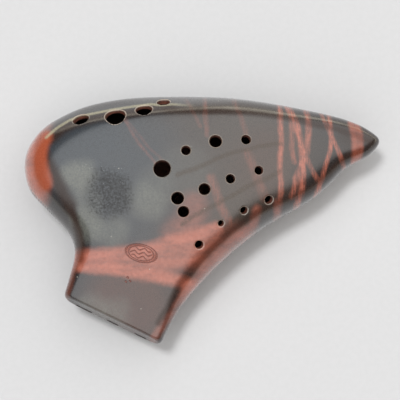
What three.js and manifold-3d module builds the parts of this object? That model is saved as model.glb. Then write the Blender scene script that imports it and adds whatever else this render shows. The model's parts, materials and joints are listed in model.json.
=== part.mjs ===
// Triple ocarina: a three-chamber transverse vessel flute in smoke-fired clay.
//
// Two half shells meet on a level seam, and two upright walls divide the air inside into a low, a
// middle and a high chamber. Each chamber has its own windway block in the mouthpiece and its own
// labium, the sharp edge that splits the air, on the back. The pieces are luted together in soft
// clay, so nothing moves.
//
// Working frame, in millimetres: +X runs along the body from the blunt end to the tail, +Y points
// away from the mouthpiece, +Z out of the finger-hole face, and z = 0 is the seam. At the end the
// whole model is raised so that its origin is at the middle of the underside.

import * as THREE from 'three';
import { ParametricGeometry } from 'three/addons/geometries/ParametricGeometry.js';
import { mergeVertices } from 'three/addons/utils/BufferGeometryUtils.js';
import Module from 'manifold-3d';

const wasm = await Module();
wasm.setup();

// ---- Driving dimensions ----

const WALL = 5; // thickness of the shells
const SKIN = 1.2; // clay left between a windway block and the outside
const DIVIDER = 3.5; // thickness of the walls between the chambers
const GAP = 0.3; // clearance between neighbouring pieces
const FAR = 200; // longer than any part, for cutters that run right through

const FULL_DEPTH = 29; // from the seam to the crown of an endlessly wide body
const TAIL_DEPTH = 9; // the same at the tip of the tail
const TAPER = { from: 10, to: 125 }; // where along X the depth falls to that of the tail
const REST_DEPTH = 27; // the underside is flattened here, so that the instrument lies still

// The outline of the seam seen from the finger-hole face, clockwise from the blunt end.
const OUTLINE = [
  [-105.5, 28], [-102.5, 39], [-93.5, 50], [-80.5, 57.5], [-62.5, 63.5], [-41.5, 66], [-7.5, 65],
  [29, 60.5], [65, 52], [92, 43.5], [106, 36], [112.5, 28.5], [106, 20.5], [91, 13.5], [80, 4],
  [67.5, -5], [36.5, -20.5], [8.5, -40.5], [-15, -63], [-26, -79], [-31, -87], [-36.5, -89],
  [-42, -86.5], [-62, -75], [-81, -64], [-85.8, -60], [-86.3, -54.5], [-82.8, -43.5],
  [-78, -26.5], [-80.5, -16], [-92.5, -0.5], [-103, 13.5],
];
const CENTRE = new THREE.Vector2(-29.5, 14.5); // every point of the outline is in sight of it

// The mouthpiece has a frame of its own: its middle is at MOUTH, and it is turned by MOUTH_TURN,
// so that "across" runs along its end face and "along" runs from the lips into the body.
const MOUTH = new THREE.Vector2(-60.5, -72.5);
const MOUTH_TURN = THREE.MathUtils.degToRad(-30);
const MOUTH_TOP = { depth: 7.25, from: 5, to: 75 }; // depth at the lips, and where it grows
const MOUTH_BACK = { depth: 7.5, from: 38, to: 95 };
const END_FACE = { along: 2.5, z: -5, lean: THREE.MathUtils.degToRad(12) };
const CHAMBER_START = 38; // the mouthpiece is solid up to here, apart from the windways

// Windway: the flat channel from the lips to the window. The block is the clay around it.
const WINDWAY = { bottom: -4.3, top: -2.5, end: 41 };
const BLOCK = { start: 7, side: 2, bottom: -5.9 };
const WINDOW_END = 47; // the labium starts here
const LABIUM = { edge: -3.4, lip: 0.4, length: 19, ramp: 40, rise: 12, shoulder: 14 };

// across: the middle of the slot on the end face; fan: how far the windway swings to the tail
const VOICES = [
  { name: 'low', across: -18, width: 10.2, fan: -3 },
  { name: 'mid', across: 1, width: 6.8, fan: 3 },
  { name: 'high', across: 19.5, width: 6.8, fan: 8 },
];

// Finger holes in the face: the middle, the diameter, and for the ones that are bored through
// the shoulder, how far their axis leans outward from upright.
const FINGER_HOLES = [
  { x: -68.7, y: 52.4, diameter: 9.8, lean: 50 },
  { x: -47.4, y: 52.2, diameter: 12.2, lean: 50 },
  { x: -29.9, y: 55.3, diameter: 10, lean: 50 },
  { x: -17.8, y: 61, diameter: 7.8, lean: 62 },
  { x: -21.4, y: 15.6, diameter: 10 },
  { x: -6.5, y: 25.7, diameter: 5.4 },
  { x: 11.5, y: 30.1, diameter: 7.3 },
  { x: 29.8, y: 30.1, diameter: 5.5 },
  { x: -13.5, y: -2.8, diameter: 7.3 },
  { x: -10.6, y: -11, diameter: 6.4 },
  { x: 2.8, y: 1.5, diameter: 6.7 },
  { x: 18.6, y: 6.7, diameter: 5.2 },
  { x: 36, y: 11, diameter: 4.9 },
  { x: -2.7, y: -30.8, diameter: 4.9 },
  { x: 11.1, y: -19.1, diameter: 3.4 },
  { x: 25.4, y: -12.1, diameter: 4.3 },
  { x: 40.8, y: -6.4, diameter: 4.9 },
];

// Thumb holes in the back, one for each chamber.
const THUMB_HOLES = [
  { x: -50, y: 27, diameter: 9 },
  { x: 14, y: 6, diameter: 6.6 },
  { x: 9, y: -18, diameter: 5.2 },
];
const BORE = 12; // how far a hole's cutter reaches to each side of the surface

// The walls between the chambers, as paths seen from above, from the mouthpiece to the tail.
const LOW_MID_PATH = [
  [-59.7, -54.4], [-46.5, -33.1], [-30.4, -11.6], [-17.3, 6.5], [-10.4, 12.1], [10.3, 18.5],
  [34, 23.4], [62.1, 25.7], [86.6, 22.3], [118, 18],
];
const MID_HIGH_PATH = [
  [-43, -64.1], [-31.2, -44.2], [-15.5, -26.1], [-6.5, -16.3], [17.5, -4.1], [50.5, 10.2],
  [74.7, 13.5], [100, 12],
];

const SMOKED_CLAY = new THREE.MeshStandardMaterial({ color: 0x5f5b58, roughness: 0.35 });
const RAW_CLAY = new THREE.MeshStandardMaterial({ color: 0x6d4435, roughness: 0.85 });

// ---- The body as a field ----

const outline = new THREE.CatmullRomCurve3(
  OUTLINE.map(([x, y]) => new THREE.Vector3(x, y, 0)), true, 'centripetal');
const RIM_SPANS = 6; // straight spans for each stretch of the outline
const rim = outline.getPoints(OUTLINE.length * RIM_SPANS);
const spans = rim.slice(1).map((end, i) => {
  const along = end.clone().sub(rim[i]).normalize();
  return { start: rim[i], end, along };
});

// A smooth measure of the distance from a point to the outline. It is the true distance close to
// the edge, and has no creases further in.
function edgeDistance(x, y) {
  const ON_EDGE = 1e-3;
  let sum = 0;
  for (const { start, end, along } of spans) {
    const height = (start.y - y) * along.x - (start.x - x) * along.y;
    if (Math.abs(height) > ON_EDGE) {
      const before = (start.x - x) * along.x + (start.y - y) * along.y;
      const after = (end.x - x) * along.x + (end.y - y) * along.y;
      const first = before / Math.sqrt(before ** 2 + height ** 2);
      const last = after / Math.sqrt(after ** 2 + height ** 2);
      sum += ((last - last ** 3 / 3) - (first - first ** 3 / 3)) / height ** 3;
    }
  }
  return Math.cbrt(4 / (3 * sum));
}

function mouthAlong(x, y) {
  const offset = new THREE.Vector2(x, y).sub(MOUTH);
  return offset.rotateAround(new THREE.Vector2(), -MOUTH_TURN).y;
}

// Height of the crown over a point: full over the chambers, less in the tail and mouthpiece.
function crown(x, y, mouth) {
  const { smoothstep, lerp } = THREE.MathUtils;
  const body = lerp(FULL_DEPTH, TAIL_DEPTH, smoothstep(x, TAPER.from, TAPER.to));
  const swell = smoothstep(mouthAlong(x, y), mouth.from, mouth.to);
  return body * lerp(mouth.depth / FULL_DEPTH, 1, swell);
}

// Height of the surface that lies inset under the outside of the body, from its edge distance.
function surfaceHeight(x, y, mouth, inset) {
  const top = crown(x, y, mouth) - inset;
  const inward = Math.max(edgeDistance(x, y) - inset, 0);
  return top * Math.sqrt(1 - Math.exp(-2 * inward / top));
}

// The same on the back, which is flattened where it rests.
function underHeight(x, y, inset) {
  return Math.min(surfaceHeight(x, y, MOUTH_BACK, inset), REST_DEPTH - inset);
}

// The point on the line from the rim to the centre that is inset from the outline.
function insetRim(start, inset) {
  const HALVINGS = 24;
  const DEEP = 0.6; // this far towards the centre is always inside
  const point = new THREE.Vector2(start.x, start.y);
  if (inset === 0) return point;
  let outside = 0;
  let inside = DEEP;
  for (let i = 0; i < HALVINGS; i += 1) {
    const middle = (outside + inside) / 2;
    const trial = point.clone().lerp(CENTRE, middle);
    if (edgeDistance(trial.x, trial.y) < inset) outside = middle;
    else inside = middle;
  }
  return point.lerp(CENTRE, inside);
}

// ---- Solids ----

function solidOf(geometry) {
  geometry.deleteAttribute('normal');
  geometry.deleteAttribute('uv');
  const merged = mergeVertices(geometry);
  const corners = merged.index.array;
  const kept = [];
  for (let i = 0; i < corners.length; i += 3) {
    const [a, b, c] = corners.subarray(i, i + 3);
    if (a !== b && b !== c && c !== a) kept.push(a, b, c);
  }
  return new wasm.Manifold(new wasm.Mesh({
    numProp: 3,
    vertProperties: new Float32Array(merged.attributes.position.array),
    triVerts: new Uint32Array(kept),
  }));
}

function geometryOf(solid) {
  const mesh = solid.getMesh();
  const geometry = new THREE.BufferGeometry();
  geometry.setAttribute('position', new THREE.BufferAttribute(mesh.vertProperties, 3));
  geometry.setIndex(new THREE.BufferAttribute(mesh.triVerts, 1));
  geometry.computeVertexNormals();
  return geometry;
}

function blockSolid(x0, x1, y0, y1, z0, z1, place = new THREE.Matrix4()) {
  const geometry = new THREE.BoxGeometry(x1 - x0, y1 - y0, z1 - z0);
  geometry.translate((x0 + x1) / 2, (y0 + y1) / 2, (z0 + z1) / 2);
  return solidOf(geometry.applyMatrix4(place));
}

// The whole body, or with an inset the same form shrunk by that much on every side.
function bodySolid(inset, slices, stacks) {
  const edge = [];
  for (let slice = 0; slice < slices; slice += 1) {
    edge.push(insetRim(outline.getPoint(slice / slices), inset));
  }
  // around runs once round the outline; down runs from the crown over the edge to the underside
  const place = (around, down, target) => {
    const slice = Math.round(around * slices) % slices;
    const stack = Math.round(down * stacks);
    const { x, y } = CENTRE.clone().lerp(edge[slice], Math.sin(Math.PI * down));
    let z = 0;
    if (stack < stacks / 2) z = surfaceHeight(x, y, MOUTH_TOP, inset);
    if (stack > stacks / 2) z = -underHeight(x, y, inset);
    target.set(x, y, z);
  };
  return solidOf(new ParametricGeometry(place, slices, stacks));
}

// ---- Mouthpiece: end face, windways and labia ----

// The frame of one windway, from its slot on the end face.
function voiceFrame(voice) {
  const slot = new THREE.Vector2(voice.across, 0).rotateAround(new THREE.Vector2(), MOUTH_TURN);
  const turn = MOUTH_TURN - THREE.MathUtils.degToRad(voice.fan);
  const frame = new THREE.Matrix4().makeRotationZ(turn);
  return frame.setPosition(MOUTH.x + slot.x, MOUTH.y + slot.y, 0);
}

function mouthFrame() {
  return new THREE.Matrix4().makeRotationZ(MOUTH_TURN).setPosition(MOUTH.x, MOUTH.y, 0);
}

// Everything in front of the end face, which leans so that the lips meet it from above.
function endCutter() {
  const lean = new THREE.Matrix4().makeRotationX(-END_FACE.lean);
  lean.setPosition(0, END_FACE.along, END_FACE.z);
  return blockSolid(-FAR, FAR, -FAR, 0, -FAR, FAR, mouthFrame().multiply(lean));
}

// The space inside the body beyond the solid mouthpiece, at least this far under the outside.
function hollowSolid(inset) {
  const end = CHAMBER_START + inset - WALL;
  const solidEnd = blockSolid(-FAR, FAR, -FAR, end, -FAR, FAR, mouthFrame());
  return bodySolid(inset, INNER_SLICES, INNER_STACKS).subtract(solidEnd);
}

function windwayCutter(voice) {
  const half = voice.width / 2;
  const { bottom, top, end } = WINDWAY;
  return blockSolid(-half, half, -FAR, end + GAP, bottom, top, voiceFrame(voice));
}

function windwayBlock(voice, grow) {
  const half = voice.width / 2 + BLOCK.side + grow;
  const start = BLOCK.start - grow;
  const bottom = BLOCK.bottom - grow;
  const top = grow - GAP;
  return blockSolid(-half, half, start, WINDWAY.end + grow, bottom, top, voiceFrame(voice));
}

// The opening in the back that the window and the labium share.
function voicingCutter(voice) {
  const half = voice.width / 2 + GAP;
  const end = WINDOW_END + LABIUM.length + GAP;
  return blockSolid(-half, half, WINDWAY.end, end, -FAR, GAP, voiceFrame(voice));
}

// A wedge with its thin edge in the middle of the air stream and its ramp facing out.
function labiumSolid(voice) {
  const { edge, lip, length, ramp, rise, shoulder } = LABIUM;
  const fall = (angle, distance) => Math.tan(THREE.MathUtils.degToRad(angle)) * distance;
  const end = WINDOW_END + length;
  const profile = new THREE.Shape([
    new THREE.Vector2(WINDOW_END, edge - lip / 2),
    new THREE.Vector2(end, edge - lip / 2 - fall(ramp, length)),
    new THREE.Vector2(end, edge - fall(rise, shoulder) - (length - shoulder)),
    new THREE.Vector2(WINDOW_END + shoulder, edge - fall(rise, shoulder)),
    new THREE.Vector2(WINDOW_END, edge + lip / 2),
  ]);
  const geometry = new THREE.ExtrudeGeometry(profile, { depth: voice.width, bevelEnabled: false });
  geometry.translate(0, 0, -voice.width / 2);
  const stand = new THREE.Matrix4().makeBasis(
    new THREE.Vector3(0, 1, 0), new THREE.Vector3(0, 0, 1), new THREE.Vector3(1, 0, 0));
  return solidOf(geometry.applyMatrix4(stand).applyMatrix4(voiceFrame(voice)));
}

// ---- Holes and dividing walls ----

// A drill through the shell, square to the surface or at the given lean from upright.
function holeCutter({ x, y, diameter, lean }, side) {
  const heightAt = side > 0
    ? (px, py) => surfaceHeight(px, py, MOUTH_TOP, 0)
    : (px, py) => underHeight(px, py, 0);
  const STEP = 0.5;
  const SIDES = 20;
  const slopeX = (heightAt(x - STEP, y) - heightAt(x + STEP, y)) / (2 * STEP);
  const slopeY = (heightAt(x, y - STEP) - heightAt(x, y + STEP)) / (2 * STEP);
  const outward = new THREE.Vector2(slopeX, slopeY);
  if (lean !== undefined) outward.setLength(Math.tan(THREE.MathUtils.degToRad(lean)));
  const axis = new THREE.Vector3(outward.x, outward.y, side).normalize();
  const geometry = new THREE.CylinderGeometry(diameter / 2, diameter / 2, 2 * BORE, SIDES);
  const turn = new THREE.Quaternion().setFromUnitVectors(new THREE.Vector3(0, 1, 0), axis);
  geometry.applyQuaternion(turn);
  geometry.translate(x, y, side * heightAt(x, y));
  return solidOf(geometry);
}

// An upright wall that follows a path, trimmed to the hollow of the body.
function dividerSolid(path, hollow) {
  const POINTS = 36;
  const curve = new THREE.CatmullRomCurve3(
    path.map(([x, y]) => new THREE.Vector3(x, y, 0)), false, 'centripetal');
  const sides = { left: [], right: [] };
  for (let i = 0; i <= POINTS; i += 1) {
    const point = curve.getPoint(i / POINTS);
    const along = curve.getTangent(i / POINTS);
    const offset = new THREE.Vector2(-along.y, along.x).multiplyScalar(DIVIDER / 2);
    sides.left.push(new THREE.Vector2(point.x, point.y).add(offset));
    sides.right.unshift(new THREE.Vector2(point.x, point.y).sub(offset));
  }
  const shape = new THREE.Shape([...sides.left, ...sides.right]);
  const depth = 2 * FULL_DEPTH;
  const geometry = new THREE.ExtrudeGeometry(shape, { depth, bevelEnabled: false });
  geometry.translate(0, 0, -depth / 2);
  return solidOf(geometry).intersect(hollow);
}

// ---- Assembly ----

const SLICES = 4 * OUTLINE.length;
const STACKS = 20;
const INNER_SLICES = 2 * OUTLINE.length;
const INNER_STACKS = 16;
const body = bodySolid(0, SLICES, STACKS).subtract(endCutter());
const hollow = hollowSolid(WALL);
const wallSpace = hollowSolid(WALL + GAP);
const core = bodySolid(SKIN, INNER_SLICES, INNER_STACKS);
const aboveSeam = blockSolid(-FAR, FAR, -FAR, FAR, GAP / 2, FAR);
const belowSeam = blockSolid(-FAR, FAR, -FAR, FAR, -FAR, -GAP / 2);

function frontShell() {
  let shell = body.intersect(aboveSeam).subtract(hollow);
  for (const hole of FINGER_HOLES) shell = shell.subtract(holeCutter(hole, 1));
  return shell;
}

function backShell() {
  let shell = body.intersect(belowSeam).subtract(hollow);
  for (const hole of THUMB_HOLES) shell = shell.subtract(holeCutter(hole, -1));
  for (const voice of VOICES) {
    shell = shell.subtract(windwayBlock(voice, GAP)).subtract(windwayCutter(voice));
    shell = shell.subtract(voicingCutter(voice));
  }
  return shell;
}

function windway(voice) {
  return windwayBlock(voice, 0).intersect(core).subtract(windwayCutter(voice));
}

function labium(voice) {
  return labiumSolid(voice).intersect(body);
}

const ocarina = new THREE.Group();

function addPiece(name, solid, material) {
  const mesh = new THREE.Mesh(geometryOf(solid), material);
  mesh.name = name;
  ocarina.add(mesh);
}

addPiece('front_shell', frontShell(), SMOKED_CLAY);
addPiece('back_shell', backShell(), SMOKED_CLAY);
addPiece('divider_low_mid', dividerSolid(LOW_MID_PATH, wallSpace), RAW_CLAY);
addPiece('divider_mid_high', dividerSolid(MID_HIGH_PATH, wallSpace), RAW_CLAY);
for (const voice of VOICES) {
  addPiece(`windway_${voice.name}`, windway(voice), RAW_CLAY);
  addPiece(`labium_${voice.name}`, labium(voice), SMOKED_CLAY);
}

const bounds = new THREE.Box3().setFromObject(ocarina);
const middle = bounds.getCenter(new THREE.Vector3());
ocarina.position.set(-middle.x, -middle.y, -bounds.min.z);

export default ocarina;
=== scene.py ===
"""A smoke-fired triple ocarina: fine clay surfaces, procedural materials, camera and light.

The clay is described by a field that is negative inside it. The field uses the dimensions of the
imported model, in millimetres, in a working frame whose origin lies on the seam between the half
shells. Meshes are drawn from the field, and converted to metres in the frame of the model.
"""

import json
import math

import bmesh
import bpy
import numpy as np
from mathutils import Matrix, Vector


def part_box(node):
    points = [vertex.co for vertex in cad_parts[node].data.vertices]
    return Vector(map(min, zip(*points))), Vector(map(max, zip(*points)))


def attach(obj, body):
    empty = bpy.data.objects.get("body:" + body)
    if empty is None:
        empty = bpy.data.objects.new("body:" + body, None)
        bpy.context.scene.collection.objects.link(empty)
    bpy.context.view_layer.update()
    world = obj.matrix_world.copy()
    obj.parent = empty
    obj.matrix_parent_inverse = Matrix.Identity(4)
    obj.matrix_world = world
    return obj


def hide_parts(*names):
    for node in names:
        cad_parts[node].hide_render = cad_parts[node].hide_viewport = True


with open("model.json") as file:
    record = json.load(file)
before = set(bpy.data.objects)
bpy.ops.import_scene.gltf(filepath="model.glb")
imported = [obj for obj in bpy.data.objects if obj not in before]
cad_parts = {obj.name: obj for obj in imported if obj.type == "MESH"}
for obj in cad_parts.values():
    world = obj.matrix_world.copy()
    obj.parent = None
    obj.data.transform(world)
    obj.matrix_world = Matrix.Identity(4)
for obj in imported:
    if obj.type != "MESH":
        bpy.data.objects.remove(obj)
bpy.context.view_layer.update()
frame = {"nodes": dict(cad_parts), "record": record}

# ---- Driving dimensions, in millimetres ----

# The working frame's origin in the model's frame: the rest mount lies on a known spot.
REST_SPOT = np.array([-25, 10, -27])
REST_MOUNT = next(m for m in frame["record"]["mounts"] if m["name"] == "rest_face")
SEAM_ORIGIN = 1000 * np.array(REST_MOUNT["pos_m"]) - REST_SPOT
WALL = 5.0  # of clay round the hollow
GAP = 0.3  # between neighbouring pieces
FULL_DEPTH = 29.0  # from the seam to the crown of each shell
TAIL_DEPTH = 9.0
TAPER = (10.0, 125.0)  # where along X the full depth falls to the tail's depth
REST_DEPTH = 27.0  # of the flat under the belly

# The outline on the seam, from the blunt end along the long shoulder to the tail and back.
OUTLINE = [
    (-105.5, 28), (-102.5, 39), (-93.5, 50), (-80.5, 57.5), (-62.5, 63.5), (-41.5, 66),
    (-7.5, 65), (29, 60.5), (65, 52), (92, 43.5), (106, 36), (112.5, 28.5), (106, 20.5),
    (91, 13.5), (80, 4), (67.5, -5), (36.5, -20.5), (8.5, -40.5), (-15, -63), (-26, -79),
    (-31, -87), (-36.5, -89), (-42, -86.5), (-62, -75), (-81, -64), (-85.8, -60),
    (-86.3, -54.5), (-82.8, -43.5), (-78, -26.5), (-80.5, -16), (-92.5, -0.5), (-103, 13.5),
]
RIM_SPANS = 6  # straight steps from one point of the outline to the next

MOUTH = np.array([-60.5, -72.5])  # the middle of the lips
MOUTH_TURN = math.radians(-30)
MOUTH_TOP = (7.25, 5.0, 75.0)  # depth at the lips, and where it grows, in the front shell
MOUTH_BACK = (7.5, 38.0, 95.0)  # and in the back shell
END_FACE = (2.5, -5.0, math.radians(12))  # along, height, lean
CHAMBER_START = 38.0  # the mouthpiece is solid up to here, apart from the windways

WINDWAY = (-4.3, -2.5, 41.0)  # bottom, top, end
BLOCK = (7.0, 2.0, -5.9)  # start, clay at each side, bottom
WINDOW_END = 47.0  # where the labium starts
LABIUM_LENGTH = 19.0
LABIUM_PROFILE = [(47, -3.6), (66, -19.5), (66, -11.4), (61, -6.4), (47, -3.2)]  # along, height
# Each windway's place across the mouthpiece, its width, and its turn in degrees.
VOICES = {"low": (-18.0, 10.2, -3.0), "mid": (1.0, 6.8, 3.0), "high": (19.5, 6.8, 8.0)}

# Holes: x, y, diameter, and the lean of the axis for the ones through the shoulder.
SHOULDER_HOLES = [
    (-68.7, 52.4, 9.8, 50), (-47.4, 52.2, 12.2, 50), (-29.9, 55.3, 10, 50),
    (-17.8, 61, 7.8, 62),
]
FACE_HOLES = [
    (-21.4, 15.6, 10.0), (-6.5, 25.7, 5.4), (11.5, 30.1, 7.3), (29.8, 30.1, 5.5),
    (-13.5, -2.8, 7.3), (-10.6, -11.0, 6.4), (2.8, 1.5, 6.7), (18.6, 6.7, 5.2),
    (36.0, 11.0, 4.9), (-2.7, -30.8, 4.9), (11.1, -19.1, 3.4), (25.4, -12.1, 4.3),
    (40.8, -6.4, 4.9),
]
THUMB_HOLES = [(-50.0, 27.0, 9.0), (14.0, 6.0, 6.6), (9.0, -18.0, 5.2)]
BORE = 12.0  # half the length of a hole's cutter
BORE_NEAR = 20.0  # and all of it is this close to the hole's middle
DISH_DEPTH = 0.3  # of the flats round the shoulder holes

SLOT_START = -30.0  # the slots are cut from here, well before the lips
WINDOW_BOTTOM = -60.0  # and the windows from here, well below the back

END_ROUNDING = 3.0  # of the edges of the end face and the rest flat
DISH_ROUNDING = 2.5
HOLE_ROUNDING = 0.9
SLOT_ROUNDING = 0.4
WINDOW_ROUNDING = 0.5
LABIUM_ROUNDING = 0.15
LABIUM_TOP_ROUNDING = 0.4

FIELD_REACH = 6.0  # the field counts no point as farther outside the outline
GRID_X, GRID_Y, GRID_Z = (-108, 115), (-92, 69), (-30, 31)
VOXEL = 0.85  # mesh step of the shells
SLOT_STEP = 0.3  # and their step in height past the slots of the windways
SLOT_SPAN = (-5.5, -1.3)  # the heights that have that step
FINE_VOXEL = 0.45  # mesh step of the labia

# Depths under the outside where the burnished skin has worn off, and where it is whole.
SKIN_DEPTHS = (1.3, 0.3)
RECESS_SHADE_DEPTHS = (2.8, 6.0)  # where painted shade starts in the holes, and where it is at full strength
SLOT_SKIN = (0.15, 0.5)  # how far from a slot the skin starts, and where it is whole


# ---- The field ----

def closed_curve(points, spans):
    """A closed centripetal Catmull-Rom curve, the same as the model's outline."""
    points = np.array(points, float)
    count = len(points)
    steps = np.arange(spans)[:, None] / spans
    stretches = []
    for i in range(count):
        p0, p1, p2, p3 = (points[(i + k) % count] for k in (-1, 0, 1, 2))
        pairs = ((p0, p1), (p1, p2), (p2, p3))
        d0, d1, d2 = (math.sqrt(np.linalg.norm(b - a)) for a, b in pairs)
        t1 = ((p1 - p0) / d0 - (p2 - p0) / (d0 + d1) + (p2 - p1) / d1) * d1
        t2 = ((p2 - p1) / d1 - (p3 - p1) / (d1 + d2) + (p3 - p2) / d2) * d1
        curve = (2 * steps**3 - 3 * steps**2 + 1) * p1 + (steps**3 - 2 * steps**2 + steps) * t1
        curve = curve + (-2 * steps**3 + 3 * steps**2) * p2 + (steps**3 - steps**2) * t2
        stretches.append(curve)
    return np.concatenate(stretches)


def true_edge_distance(x, y):
    """A smooth measure of the distance from points to the outline, positive inside."""
    start = closed_curve(OUTLINE, RIM_SPANS)
    end = np.roll(start, -1, axis=0)
    along = (end - start) / np.linalg.norm(end - start, axis=1, keepdims=True)
    total = np.zeros(x.shape)
    for a, b, t in zip(start, end, along):
        height = (a[1] - y) * t[0] - (a[0] - x) * t[1]
        height = np.where(np.abs(height) < 1e-4, 1e-4, height)
        before = (a[0] - x) * t[0] + (a[1] - y) * t[1]
        after = (b[0] - x) * t[0] + (b[1] - y) * t[1]
        first = before / np.sqrt(before**2 + height**2)
        last = after / np.sqrt(after**2 + height**2)
        total += ((last - last**3 / 3) - (first - first**3 / 3)) / height**3
    return np.cbrt(4 / (3 * total))


class EdgeTable:
    """The edge distance on a fine grid, read back with smooth cubic interpolation."""

    STEP = 0.5
    LOW = np.array([-118.03, -103.03])
    SIZE = (490, 370)

    def __init__(self):
        axes = [self.LOW[i] + self.STEP * np.arange(self.SIZE[i]) for i in (0, 1)]
        self.values = true_edge_distance(*np.meshgrid(*axes, indexing="ij"))

    @staticmethod
    def weights(t):
        return (
            ((2 - t) * t - 1) * t / 2,
            ((3 * t - 5) * t * t + 2) / 2,
            ((4 - 3 * t) * t + 1) * t / 2,
            (t - 1) * t * t / 2,
        )

    def __call__(self, x, y):
        u = (x - self.LOW[0]) / self.STEP
        v = (y - self.LOW[1]) / self.STEP
        i = np.clip(u.astype(int), 1, self.SIZE[0] - 3)
        j = np.clip(v.astype(int), 1, self.SIZE[1] - 3)
        across = self.weights(u - i)
        upward = self.weights(v - j)
        total = np.zeros(np.shape(x))
        for a in range(4):
            row = sum(upward[b] * self.values[i + a - 1, j + b - 1] for b in range(4))
            total += across[a] * row
        return total


edge_distance = EdgeTable()


def smoothstep(x, low, high):
    t = np.clip((x - low) / (high - low), 0, 1)
    return t * t * (3 - 2 * t)


def smooth_max(a, b, radius):
    overlap = np.maximum(radius - np.abs(a - b), 0)
    return np.maximum(a, b) + overlap**2 / (4 * radius)


def to_mouth(x, y):
    """Coordinates in the mouthpiece: across its end face, and along it into the body."""
    dx, dy = x - MOUTH[0], y - MOUTH[1]
    cos, sin = math.cos(MOUTH_TURN), math.sin(MOUTH_TURN)
    return dx * cos + dy * sin, dy * cos - dx * sin


def crown(x, y, mouth):
    depth, start, end = mouth
    body = FULL_DEPTH + (TAIL_DEPTH - FULL_DEPTH) * smoothstep(x, *TAPER)
    swell = smoothstep(to_mouth(x, y)[1], start, end)
    return body * (depth / FULL_DEPTH + (1 - depth / FULL_DEPTH) * swell)


def surface_height(x, y, mouth, inset=0.0):
    top = crown(x, y, mouth) - inset
    return top * np.sqrt(1 - np.exp(-2 * np.maximum(edge_distance(x, y) - inset, 0) / top))


def form(x, y, z, inset):
    """Roughly the distance to the outside of the body, or to that form shrunk by an inset."""
    top = np.where(z >= 0, crown(x, y, MOUTH_TOP), crown(x, y, MOUTH_BACK)) - inset
    inward = np.maximum(edge_distance(x, y) - inset, -FIELD_REACH)
    fall = np.exp(-2 * inward / top)
    value = (z / top) ** 2 - 1 + fall
    steepness = np.sqrt((2 * z / top**2) ** 2 + (2 * fall / top) ** 2)
    return value / steepness


def hole_axis(x, y, side, lean=None):
    """The middle of a hole on the surface, and the direction of its axis, outward."""
    step = 0.5
    mouth = MOUTH_TOP if side > 0 else MOUTH_BACK

    def height(px, py):
        h = float(surface_height(np.array([px]), np.array([py]), mouth)[0])
        return h if side > 0 else min(h, REST_DEPTH)

    slope = np.array([
        (height(x - step, y) - height(x + step, y)) / (2 * step),
        (height(x, y - step) - height(x, y + step)) / (2 * step),
    ])
    if lean is not None:
        slope *= math.tan(math.radians(lean)) / np.linalg.norm(slope)
    axis = np.array([slope[0], slope[1], side])
    return np.array([x, y, side * height(x, y)]), axis / np.linalg.norm(axis)


def list_holes():
    """Each hole's middle, axis and radius, and whether it lies in a small flat."""
    holes = []
    for x, y, diameter, lean in SHOULDER_HOLES:
        holes.append((*hole_axis(x, y, 1, lean), diameter / 2, True))
    for x, y, diameter in FACE_HOLES:
        holes.append((*hole_axis(x, y, 1), diameter / 2, False))
    for x, y, diameter in THUMB_HOLES:
        holes.append((*hole_axis(x, y, -1), diameter / 2, False))
    return holes


HOLES = list_holes()


def outside(x, y, z):
    """The whole outside of the instrument, without its holes."""
    along, level, lean = END_FACE
    clay = form(x, y, z, 0.0)
    depth = to_mouth(x, y)[1]
    end = -(depth - along) * math.cos(lean) + (z - level) * math.sin(lean)
    clay = smooth_max(clay, end, END_ROUNDING)
    clay = smooth_max(clay, -REST_DEPTH - z, END_ROUNDING)
    for middle, axis, _, dished in HOLES:
        if dished:
            dx, dy, dz = x - middle[0], y - middle[1], z - middle[2]
            flat = dx * axis[0] + dy * axis[1] + dz * axis[2]
            clay = smooth_max(clay, flat + DISH_DEPTH, DISH_ROUNDING)
    return clay


def drilled(clay, x, y, z):
    """The clay with its finger holes and thumb holes."""
    for middle, axis, radius, _ in HOLES:
        near = (np.abs(x - middle[0]) < BORE_NEAR) & (np.abs(y - middle[1]) < BORE_NEAR)
        dx, dy, dz = x[near] - middle[0], y[near] - middle[1], z[near] - middle[2]
        depth = dx * axis[0] + dy * axis[1] + dz * axis[2]
        reach = np.sqrt(np.maximum(dx**2 + dy**2 + dz**2 - depth**2, 0)) - radius
        bore = np.maximum(reach, np.abs(depth) - BORE)
        clay[near] = smooth_max(clay[near], -bore, HOLE_ROUNDING)
    return clay


def to_voice(voice, x, y):
    """Coordinates in one windway: across it, and along it from its slot."""
    across, _, fan = VOICES[voice]
    start = MOUTH + across * np.array([math.cos(MOUTH_TURN), math.sin(MOUTH_TURN)])
    turn = MOUTH_TURN - math.radians(fan)
    dx, dy = x - start[0], y - start[1]
    return dx * math.cos(turn) + dy * math.sin(turn), dy * math.cos(turn) - dx * math.sin(turn)


def box_field(u, v, z, low, high):
    """The field of a box between two corners, negative inside it."""
    middle = [(a + b) / 2 for a, b in zip(low, high)]
    half = [(b - a) / 2 for a, b in zip(low, high)]
    return np.maximum.reduce([np.abs(p - m) - h for p, m, h in zip((u, v, z), middle, half)])


def slot(voice, x, y, z):
    """The field of one windway's slot, negative inside it."""
    bottom, top, end = WINDWAY
    half = VOICES[voice][1] / 2
    return box_field(*to_voice(voice, x, y), z, (-half, SLOT_START, bottom), (half, end, top))


def slot_distance(x, y, z):
    """The distance to the nearest slot, negative inside it."""
    return np.minimum.reduce([slot(voice, x, y, z) for voice in VOICES])


def pocket(voice, x, y, z):
    """The room in the back shell for one windway block."""
    start, side, bottom = BLOCK
    half = VOICES[voice][1] / 2 + side + GAP
    low = (-half, start - GAP, bottom - GAP)
    high = (half, WINDWAY[2] + GAP, 0.0)
    return box_field(*to_voice(voice, x, y), z, low, high)


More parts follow.
